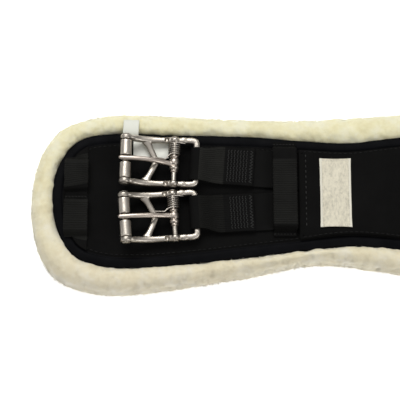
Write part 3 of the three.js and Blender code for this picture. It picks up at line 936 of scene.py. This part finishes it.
def keeper_height(y, feet, clear, sag):
    """Height of a keeper's middle, lying on the pad at its feet and clear of it between them.

    At an inner foot it is pinched up in a small fold on either side of the seam.
    """
    off_feet = off_foot(y, feet)
    z = PAD_TOP + 0.75 + (clear - 0.15) * smoothstep(off_feet, 0, 4.0)
    for (_, a), (b, _) in zip(feet, feet[1:]):
        t = np.clip((y - a) / (b - a), 0, 1)
        z += sag * np.sin(math.pi * t) ** 2 * smoothstep(off_feet, 3, 8)
    for _, b in feet[1:-1]:
        z += 0.75 * np.exp(-((y - b - 2.2) / 0.6) ** 2) + 0.65 * np.exp(-((y - b + 0.4) / 0.6) ** 2)
    return z


def off_foot(y, feet):
    """Distance in Y from the nearest sewn foot, 0 on it."""
    return np.min([np.maximum(np.maximum(a - y, y - b), 0) for a, b in feet], axis=0)


def between(y, low, high):
    """1 between two values of Y and 0 outside them, changing over a millimetre on either side of each."""
    return smoothstep(y, low - 1, low + 1) * (1 - smoothstep(y, high - 1, high + 1))


def keeper(name, feet, clear, from_x, sag, ribbed, to_contour=False):
    """Elastic band across the pad, sewn down at its feet and ribbed within a range of Y.

    Its ends may be cut to the contour line.
    """
    low, high = feet[0][0], feet[-1][1]
    y = np.linspace(low, high, 900)
    path = resample(np.column_stack([np.zeros_like(y), y, keeper_height(y, feet, clear, sag)]), 640)
    s = lengths(path)
    above, _ = frames_along(path, up=(1, 0, 0))
    off_feet = np.interp(path[:, 1], y, off_foot(y, feet))
    foot = 1 - smoothstep(off_feet, 0, 2.5)
    open_part = between(path[:, 1], *ribbed)
    for a, b in feet[1:-1]:
        open_part *= 1 - between(path[:, 1], a - 2.5, b + 3.5)
    rib = 0.5 * np.abs(np.sin(math.pi * s / 1.75)) ** 0.8
    thick = 0.42 + rib * (1 - 0.35 * foot) * open_part + 0.3 * (1 - open_part)
    u = np.linspace(-1, 1, 25)
    section_u = np.concatenate([u, u[::-1]])
    sign = np.concatenate([rounded(u, 0.94, 0.03), -rounded(u, 0.94, 0.03)])
    half = KEEPER_HALF - 0.35 + 0.14 * np.sin(2 * math.pi * s / 3.0) - 0.5 * foot
    middle = from_x + KEEPER_HALF + 0.35 * ripple(from_x, path[:, 1], 7, 9, 2.0)
    along = path[:, 1:2]
    crease = ripple(section_u * KEEPER_HALF + along * 0.55, along, 3.4, 7.5, from_x)
    puff = 0.34 * crease * (1 - smoothstep(off_feet, 1.5, 11))[:, None]
    points = np.empty((len(path), len(section_u), 3))
    points[..., 0] = middle[:, None] + half[:, None] * section_u[None]
    points[..., 1:] = path[:, None, 1:]
    for _, b in feet[1:-1]:
        fan = smoothstep(path[:, 1], b + 0.5, b + 4) * (1 - smoothstep(path[:, 1], b + 6, b + 19))
        points[..., 1] += 1.6 * fan[:, None] * (section_u[None] + 1)
    points += above[:, None] * (thick[:, None] * sign[None] + puff)[..., None]
    if to_contour:
        for side, inner, end in ((1, feet[-1][0] + 1, high), (-1, feet[0][1] - 1, low)):
            stop = edge_y(points[..., 0], side, GROOVE + 0.2)
            y = points[..., 1] * side
            beyond = np.maximum(y - inner * side, 0)
            stretch = (stop - inner) * side / abs(end - inner)
            points[..., 1] = side * (np.minimum(y, inner * side) + beyond * stretch)
    obj = solid(f"{name}_band", *capped(points))
    piece(obj, ELASTIC, "root", [name])
    obj.data.materials.append(ELASTIC_GROUND_AND_SHADE)
    # The keeper's smooth ends take the dark ground weave, whose colour partly paints the shade on their
    # slopes.
    ends = np.repeat(open_part[:-1] < 0.5, points.shape[1]).astype(np.int32)
    obj.data.polygons.foreach_set("material_index", np.append(ends, [1, 1]))


def keeper_stitches():
    """Rows across the middle foot of each outer keeper and the end feet of each inner one."""
    runs = []
    for keepers, rows in ((OUTER_KEEPERS, (0.3, 2.7)), (INNER_KEEPERS, (-28.9, 41.7))):
        for from_x in keepers.values():
            for y in rows:
                seam = np.full((30, 3), [0, y, 32.05])
                seam[:, 0] = np.linspace(from_x + 1.0, from_x + 2 * KEEPER_HALF - 1.0, 30)
                runs.append(stitch_run(seam, 1.7, 0.5))
    stitches("keeper_seams", runs, 0.28, BLACK_THREAD)


# ---------------------------------------------------------------- labels

LABEL_MIDDLE, LABEL_TOP = (-138, 2.7), 35.25
TAPE_THICK = 0.25


def sheet_of(name, plan, top, thick):
    """A thin closed sheet over a grid of plan points (U x V x 2)."""
    upper = np.concatenate([plan, top[..., None]], axis=2)
    lower = np.concatenate([plan, (top - thick)[..., None]], axis=2)
    u, v = top.shape
    p, f = grid(upper)
    q, g = grid(lower, start=u * v)
    index = np.arange(u * v).reshape(u, v)
    rim = np.concatenate([index[0, :], index[1:, -1], index[-1, ::-1][1:], index[::-1, 0][1:-1]])
    turn = np.roll(rim, -1)
    walls = [[int(a), int(b), int(b) + u * v, int(a) + u * v] for a, b in zip(rim, turn)]
    return solid(name, np.vstack([p, q]), f + [w[::-1] for w in g] + walls)


def woven_label():
    """Blank label with its long sides folded under and a hem at each end, sewn down all round."""
    u, v = np.meshgrid(np.linspace(-1, 1, 49), np.linspace(-1, 1, 109), indexing="ij")
    wave = ripple(u * 1.1, v * 2.0, 1, 1, 9.0)
    x = u * (12 - 0.35 * (1 - v**2)) + 0.25 * wave
    y = v * 26.5 + 0.5 * u**2 * np.sign(v) * np.abs(v) ** 6
    fold, hem = 1.9 / 12, 1.6 / 27
    folded = smoothstep(np.abs(u), 1 - fold, 1 - fold * 0.8)
    hemmed = smoothstep(np.abs(v), 1 - hem, 1 - hem * 0.75)
    top = LABEL_TOP + 0.12 * wave + 0.2 * np.maximum(folded, hemmed) + 0.3 * np.abs(v) ** 8
    obj = sheet_of("blank_woven_label", np.stack([x, y], axis=2) + LABEL_MIDDLE, top, 0.45)
    piece(obj, LABEL, "root", ["woven_label"])
    obj.data.materials.append(LABEL_EDGE)
    for p in obj.data.polygons:
        if abs(p.center.x / MM - LABEL_MIDDLE[0]) > 10.2:
            p.material_index = 1
    seam_x, seam_y = 10.0, 25.3
    sides = [[(a, t) for t in np.linspace(-seam_y, seam_y, 60)] for a in (-seam_x, seam_x)]
    sides += [[(t, b) for t in np.linspace(-seam_x, seam_x, 24)] for b in (-seam_y, seam_y)]
    seams = [np.column_stack([np.array(p) + LABEL_MIDDLE, np.full(len(p), LABEL_TOP + 0.17)]) for p in sides]
    stitches("label_seams", [stitch_run(seam, 1.7, 0.8) for seam in seams], 0.2, LABEL_THREAD)


def care_label():
    """Satin tape: its wide part lies on the cover, its end on the fleece beside it."""
    lo, hi = (np.array(p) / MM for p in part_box("care_label"))
    u, v = np.meshgrid(np.linspace(0, 1, 40), np.linspace(0, 1, 28), indexing="ij")
    x, y = lo[0] + (hi[0] - lo[0]) * u, lo[1] + (hi[1] - lo[1]) * v
    top = 31.35 + 0.16 * np.sin(x / 3.1 + y / 9) * v + 0.42 * ripple(x, y, 5, 3.5, 1.0)
    obj = sheet_of("blank_care_label", np.stack([x, y], axis=2), top, TAPE_THICK)
    # The wide part takes the brighter copy of the satin tape, painted light against the buckle's shade.
    piece(obj, CARE_TAPE_PAINTED_LIGHT, "root", ["care_label"])

    lo, hi = (np.array(p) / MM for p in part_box("care_label_tab"))
    route = spline([(46.9, 30.9), (48.3, 33.1), (50.6, 34.0), (54, 34.35), (58, 34.1), (61.3, 32.9)], 40)
    u, v = np.linspace(0, 1, 16)[:, None], np.linspace(0, 1, 40)
    x, y = np.broadcast_arrays(lo[0] + (hi[0] - lo[0]) * u + 0.7 * v, route[:, 0])
    top = route[:, 1] + 0.14 * np.sin(u * 5.0)
    obj = sheet_of("care_label_end", np.stack([x, y], axis=2), top, TAPE_THICK)
    piece(obj, SATIN, "root", ["care_label_tab"])


# ---------------------------------------------------------------- buckles
# In a buckle's own frame x runs from the rear bar towards the roller, y along the bar, z up.

PIVOT_X, PIVOT_Z = 16.7, 1.2
ROLLER_X, ROLLER_Z = 53.5, 6.0
PLATE_Y = 17.2  # middle of each side plate
RAIL = [  # x, y, z, half width and half height, from the roller's eye to the middle of the rear bar
    (ROLLER_X, PLATE_Y, 6.0, 2.2, 3.5), (48.5, PLATE_Y, 4.4, 2.3, 2.9), (43, PLATE_Y, 2.2, 2.4, 2.7),
    (36, PLATE_Y, 0.6, 2.45, 2.6), (29, PLATE_Y, 0.1, 2.25, 2.4), (22.5, PLATE_Y, 0.2, 2.3, 2.45),
    (PIVOT_X, PLATE_Y, 0.7, 2.6, 3.0), (13.2, 17.1, 0.25, 2.1, 2.35), (10.2, 17.3, 0.35, 2.5, 2.65),
    (7.2, PLATE_Y, 0.2, 2.25, 2.4), (4.6, 17.3, 0.15, 2.45, 2.5), (2.6, 17.1, 0.05, 2.45, 2.5),
    (0.9, 16.4, 0.0, 2.45, 2.5), (0.15, 15.0, 0.0, 2.5, 2.5), (0, 13, 0.0, 2.45, 2.5),
    (0, 10.5, 0.0, 2.35, 2.35), (0, 5, 0.0, 2.35, 2.35),
]
ARM = [  # the same, for half of the bridge, from the middle line to the rail
    (30.8, 0.0, -0.6, 2.5, 1.7), (32.0, 3.4, -0.5, 2.4, 1.7), (33.9, 7.5, -0.2, 2.4, 1.75),
    (35.6, 11.0, 0.2, 2.4, 1.9), (36.8, 13.4, 0.5, 2.9, 2.05), (37.5, 15.3, 0.75, 4.2, 2.15),
    (37.6, PLATE_Y, 0.9, 6.0, 2.2),
]
EYE = [  # radius and y of the frame's rounded eye at the roller pin
    (0.6, 15.4), (4.1, 15.4), (4.5, 15.8), (4.6, 18.0), (4.3, 18.8), (3.5, 19.2), (0.6, 19.2),
]
BOSS = [  # the same, at the tongue's pin
    (0.6, 15.1), (2.8, 15.2), (3.4, 15.9), (3.6, 17.1), (3.4, 18.3), (2.7, 19.1), (0.6, 19.2),
]
BLADE = [  # x, z, half width and half height of the tongue
    (17.5, 1.7, 2.2, 2.3), (21, 3.0, 2.1, 1.9), (24.5, 3.95, 2.0, 1.75), (29, 5.55, 1.95, 1.65),
    (33, 6.75, 1.9, 1.6), (39, 8.0, 1.85, 1.5), (45, 8.95, 1.8, 1.45), (51.5, 9.5, 1.75, 1.4),
    (56.2, 9.75, 1.7, 1.35), (57.6, 9.8, 1.45, 1.15), (58.5, 9.8, 0.8, 0.65),
]
LUG = [  # radius and y of the beaded lug that the tongue turns by
    (1.9, -5.2), (2.8, -5.1), (3.4, -4.4), (3.45, -3.5), (2.7, -2.6), (2.8, -2.3), (3.7, -1.5),
    (3.85, 0.2), (3.7, 2.0), (2.75, 2.9), (2.8, 3.2), (3.6, 3.9), (3.7, 4.9), (3.4, 5.9), (2.6, 6.5),
    (2.7, 6.9), (3.0, 7.5), (2.7, 8.2), (1.9, 8.3),
]
SLEEVE = [  # radius and y of a roller sleeve, from inside its inner end to inside its outer end
    (2.45, 2.75), (3.2, 2.7), (3.95, 2.8), (4.25, 3.1), (4.3, 3.6), (4.3, 8.8), (4.3, 14.1),
    (4.25, 14.6), (3.95, 14.9), (3.2, 15.0), (2.45, 14.95),
]
COIL_FROM, COIL_TO = -14.3, -5.9  # y of the spring's first and last turn
LEAN = 2.1  # how far to the side the one bent tongue starts


def mirrored(rows):
    return [(x, -y, z, w, h) for x, y, z, w, h in rows]


def rail_tube(rows, count, sides=22, power=2.4):
    p = spline(np.array(rows), count)
    return tube(p[:, :3], p[:, 3], p[:, 4], sides, power)


def lathe(profile, x, z, sides=40):
    return capped(turned(profile, x, z, sides))


def buckle_frame():
    """Side plates, rear bar and bridge as one casting, with a dimple beside each boss."""
    parts = [rail_tube(RAIL + mirrored(RAIL)[::-1], 300, 24, 3.0), rail_tube(mirrored(ARM)[:0:-1] + ARM, 120)]
    for side in (1, -1):
        for profile, x, z in ((EYE, ROLLER_X, ROLLER_Z), (BOSS, PIVOT_X, PIVOT_Z)):
            parts.append(lathe([(r, side * y) for r, y in profile], x, z))
        neck = [(44.5, side * PLATE_Y, 3.4), (49, side * 17.25, 5.2), (ROLLER_X, side * 17.25, ROLLER_Z)]
        parts.append(tube(neck, [1.7, 2.1, 2.0], [1.8, 3.2, 4.1]))
    obj = fused("frame_pattern", parts, 0.3, 6)
    co = np.empty(len(obj.data.vertices) * 3)
    obj.data.vertices.foreach_get("co", co)
    co = co.reshape(-1, 3) / MM
    for side in (1, -1):
        off_dimple = np.hypot(co[:, 0] - 22.8, (co[:, 1] - side * 17.3) * 0.9) / 1.75
        co[:, 2] -= 2.0 * np.clip(1 - off_dimple**4, 0, 1) * (co[:, 2] > 0.2)
    co[:, 2] += 0.08 * soft_noise(co, 5.5)
    obj.data.vertices.foreach_set("co", (co * MM).ravel())
    return obj


def tongue_middle(lean, x):
    """Y of a tongue's middle line, which starts lean to one side at the lug and ends in the middle."""
    return lean * (53.6 - x) / 36.9


def tongue_pattern(lean):
    path = np.array([(x, tongue_middle(lean, x), z, w, h) for x, z, w, h in BLADE])
    blade = spline(path, 90)
    blade[:, 1] -= lean * 0.4 * np.sin(math.pi * np.clip((blade[:, 0] - 17) / 37, 0, 1))
    parts = [tube(blade[:, :3], blade[:, 3], blade[:, 4], 22, 2.3), lathe(LUG, PIVOT_X, PIVOT_Z)]
    return fused("tongue_pattern", parts, 0.24, 5)


def sleeve_pattern():
    """Rolled-sheet sleeve: a rounded tube whose edges meet in a fine seam."""
    rings = turned(spline(SLEEVE, 60), 0, 0, 120)
    angle = np.arctan2(rings[..., 2], rings[..., 0])
    seam = 1 - 0.07 * np.exp(-((np.degrees(angle) - 38) / 2.6) ** 2)
    rings[..., 0] *= seam
    rings[..., 2] *= seam
    verts, faces = grid(rings, wrap_u=True, wrap_v=True)
    verts += [ROLLER_X, 0, ROLLER_Z]
    return solid("sleeve_pattern", verts, faces)


def pin_pattern(name, x, z, radius, head, height):
    """Pin with a domed head beyond each side plate. Each row of the head is its radius and height there."""
    face = 19.4
    side = [
        (0.05, face + height), (head * 0.4, face + height * 0.95), (head * 0.7, face + height * 0.75),
        (head * 0.94, face + height * 0.4), (head, face + 0.15), (head * 0.96, face + 0.03),
        (radius + 0.1, face), (radius, 19.1),
    ]
    waist = [(radius, y) for y in np.linspace(15, -15, 9)]
    profile = side + waist + [(r, -y) for r, y in side[::-1]]
    return solid(name, *lathe(resample(np.array(profile), 150), x, z))


def spring_pattern(lean):
    """Torsion spring: a leg against the frame, the coil round the pin, a leg along the tongue."""
    radius, wire, turns, per_turn = 4.2, 0.5, 5, 16
    coil = []
    for i in range(turns * per_turn + 1):
        angle = math.pi / 2 - i / per_turn * 2 * math.pi
        y = COIL_FROM + (COIL_TO - COIL_FROM) * i / (turns * per_turn)
        coil.append((PIVOT_X + radius * math.cos(angle), y, PIVOT_Z + radius * math.sin(angle)))
    frame_leg = [(8.4, COIL_FROM, PIVOT_Z + 1.9), (12.4, COIL_FROM, PIVOT_Z + 3.7)]
    beside = {x: tongue_middle(lean, x) - 1.8 - 1.05 for x in (21, 23.4, 26.5, 31.0)}
    tongue_leg = [(PIVOT_X + 2.9, COIL_TO + 0.5, PIVOT_Z + 3.9)]
    tongue_leg += [(PIVOT_X + 4.9, (COIL_TO + beside[21]) / 2, PIVOT_Z + 3.6)]
    tongue_leg += [(x, beside[x], z) for x, z in ((23.4, 5.2), (26.5, 5.9), (31.0, 7.0))]
    count = 560
    path = spline(frame_leg + coil + tongue_leg, count)
    way = unit(np.gradient(path, axis=0))
    across = unit(np.cross(way, np.broadcast_to([0.0, 1.0, 0.02], way.shape)))
    above = unit(np.cross(way, across))
    a = circle(10)[None, :, None]
    step = np.arange(count)
    thick = wire * np.clip(np.minimum(step, count - 1 - step) / 2, 0.35, 1)[:, None, None]
    rings = path[:, None] + thick * (across[:, None] * np.cos(a) + above[:, None] * np.sin(a))
    return solid("spring_pattern", *capped(rings))


BUCKLE_PIECES = [  # pattern, piece, material, body of the buckle, material slot, node
    ("frame", "cast_frame", FRAME_STEEL, "buckle", "buckle_steel", "buckle_frame"),
    ("roller_pin", "roller_axle", FRAME_STEEL, "buckle", "buckle_steel", "roller_pin"),
    ("tongue_pin", "tongue_axle", ROLLER_STEEL, "buckle", "buckle_steel", "tongue_pin"),
    ("sleeve", "sleeve_b", ROLLER_STEEL, "sleeve_b", "roller_steel", "roller_sleeve_b"),
    ("sleeve", "sleeve_a", ROLLER_STEEL, "sleeve_a", "roller_steel", "roller_sleeve_a"),
    ("tongue", "tongue_blade", TONGUE_STEEL, "tongue", "buckle_steel", "tongue"),
]


def buckle_place(hinge):
    """Place of a buckle's own frame in the girth, from its hinge."""
    up = Vector((0, 0, 1))
    y = -Vector(hinge["axis"]).normalized()
    place = Matrix((y.cross(up), y, up)).transposed().to_4x4()
    place.translation = Vector(hinge["pos_m"])
    return place


def copied(pattern, name, place):
    data = pattern.data.copy()
    data.transform(place)
    return linked(name, data)


def buckle(name, patterns, place):
    for pattern, part, material, body, slot, node in BUCKLE_PIECES:
        mirror = Matrix.Diagonal((1, -1 if part == "sleeve_a" else 1, 1, 1))
        obj = copied(patterns[pattern], f"{name}_{part}", place @ mirror)
        piece(obj, material, f"{name}_{body}", [f"{name}_{node}"])
        if part == "sleeve_a":
            obj.data.flip_normals()
    spring = copied(patterns["spring"], f"{name}_torsion_spring", place)
    spring.data.materials.append(SPRING_STEEL)
    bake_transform(spring)
    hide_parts(f"{name}_tongue_spring")


def buckles():
    joints = {j["name"]: j for j in frame["record"]["behaviour"]["joints"]}
    patterns = {
        "frame": buckle_frame(),
        "roller_pin": pin_pattern("roller_pin_pattern", ROLLER_X, ROLLER_Z, 1.98, 3.5, 0.95),
        "tongue_pin": pin_pattern("tongue_pin_pattern", PIVOT_X, PIVOT_Z, 1.88, 2.7, 0.75),
        "sleeve": sleeve_pattern(),
        "tongue": tongue_pattern(0.0),
        "spring": spring_pattern(0.0),
    }
    leaning = {"tongue": tongue_pattern(LEAN), "spring": spring_pattern(LEAN)}
    for end in ENDS:
        for row in ROWS:
            name = f"{row}_{end}"
            own = {**patterns, **leaning} if name == "far_left" else patterns
            buckle(name, own, buckle_place(joints[f"{name}_buckle_hinge"]))
    for pattern in list(patterns.values()) + list(leaning.values()):
        bpy.data.objects.remove(pattern)


# ---------------------------------------------------------------- hidden layers

def inner_layers():
    """The layers sealed inside the pad keep their CAD shape."""
    for node, material in (("lining_cloth", LINING), ("foam_core", FOAM)):
        obj = frame["nodes"][node]
        obj.data.materials.clear()
        obj.data.materials.append(material)


# ---------------------------------------------------------------- stage, light and camera

def pale_floor():
    """Plain floor just under the girth, with a little light of its own so that it stays pale."""
    bpy.ops.mesh.primitive_plane_add(size=12, location=(0, 0, -0.0003))
    floor = bpy.context.object
    floor.name = "floor"
    m = Nodes("floor", (0.93, 0.93, 0.93), 0.9, spec=0.0)
    m.set("Emission Color", (1, 1, 1, 1))
    m.set("Emission Strength", 0.5)
    floor.data.materials.append(m.mat)


def studio_world():
    """Soft grey surroundings, brightest below and overhead."""
    world = bpy.data.worlds.new("studio")
    bpy.context.scene.world = world
    world.use_nodes = True
    nodes, links = world.node_tree.nodes, world.node_tree.links
    coords = nodes.new("ShaderNodeTexCoord")
    split = nodes.new("ShaderNodeSeparateXYZ")
    ramp = nodes.new("ShaderNodeValToRGB")
    grays = [(0.0, 0.9), (0.5, 0.55), (0.56, 0.2), (0.7, 0.28), (0.85, 0.6), (1.0, 0.75)]
    set_stops(ramp.color_ramp, [(at, (value, value, value * 1.02)) for at, value in grays])
    half = nodes.new("ShaderNodeMapRange")
    half.inputs["From Min"].default_value = -1
    links.new(coords.outputs["Generated"], split.inputs[0])
    links.new(split.outputs["Z"], half.inputs["Value"])
    links.new(half.outputs["Result"], ramp.inputs["Fac"])
    links.new(ramp.outputs["Color"], nodes["Background"].inputs["Color"])
    nodes["Background"].inputs["Strength"].default_value = 0.75


def facing(way):
    """Rotation of a light or camera that looks that way."""
    return way.to_track_quat("-Z", "Y").to_euler()


def softbox(name, place, aim, size, power):
    data = bpy.data.lights.new(name, "AREA")
    data.shape = "RECTANGLE"
    data.size, data.size_y = size
    data.energy = power
    light = linked(name, data)
    light.location = place
    light.rotation_euler = facing(Vector(aim) - Vector(place))


def camera():
    """Long lens above the left end and the waist, raised 75 degrees."""
    data = bpy.data.cameras.new("camera")
    data.lens = 142
    data.clip_start, data.clip_end = 0.01, 50
    aim = Vector((-0.2409, -0.0017, 0.030))
    elevation, distance = math.radians(75), 1.2
    back = Vector((0, -math.cos(elevation), math.sin(elevation)))
    scene = bpy.context.scene
    scene.camera = linked("camera", data)
    scene.camera.location = aim + back * distance
    scene.camera.rotation_euler = facing(-back)
    scene.view_settings.view_transform = "Standard"
    scene.view_settings.look = "None"
    scene.view_settings.exposure = 0
    scene.view_settings.gamma = 1


# ---------------------------------------------------------------- the girth

fleece_pile(*fleece_roll())
cover_pad()
center_panel()
seam_stitches()
load_web("far")
load_web("near")
tail_stitches()
for end, from_x in OUTER_KEEPERS.items():
    feet = [(-38, -30), (-0.5, 3.5), (30.5, 38)]
    keeper(f"{end}_outer_keeper", feet, 5.5, from_x, sag=0.3, ribbed=(-33, 34), to_contour=True)
for end, from_x in INNER_KEEPERS.items():
    keeper(f"{end}_inner_keeper", [(-30.6, -27.2), (40, 43.4)], 7.8, from_x, sag=0.2, ribbed=(-22.7, 28))
keeper_stitches()
woven_label()
care_label()
buckles()
inner_layers()
pale_floor()
studio_world()
softbox("key", (-0.45, 0.85, 1.25), (-0.15, 0, 0), (1.0, 0.7), 16)
softbox("fill", (0.9, -0.9, 1.3), (0, 0, 0), (1.2, 0.6), 10.5)
softbox("rim", (-1.3, -0.2, 0.7), (-0.2, 0, 0), (0.5, 0.9), 1)
camera()
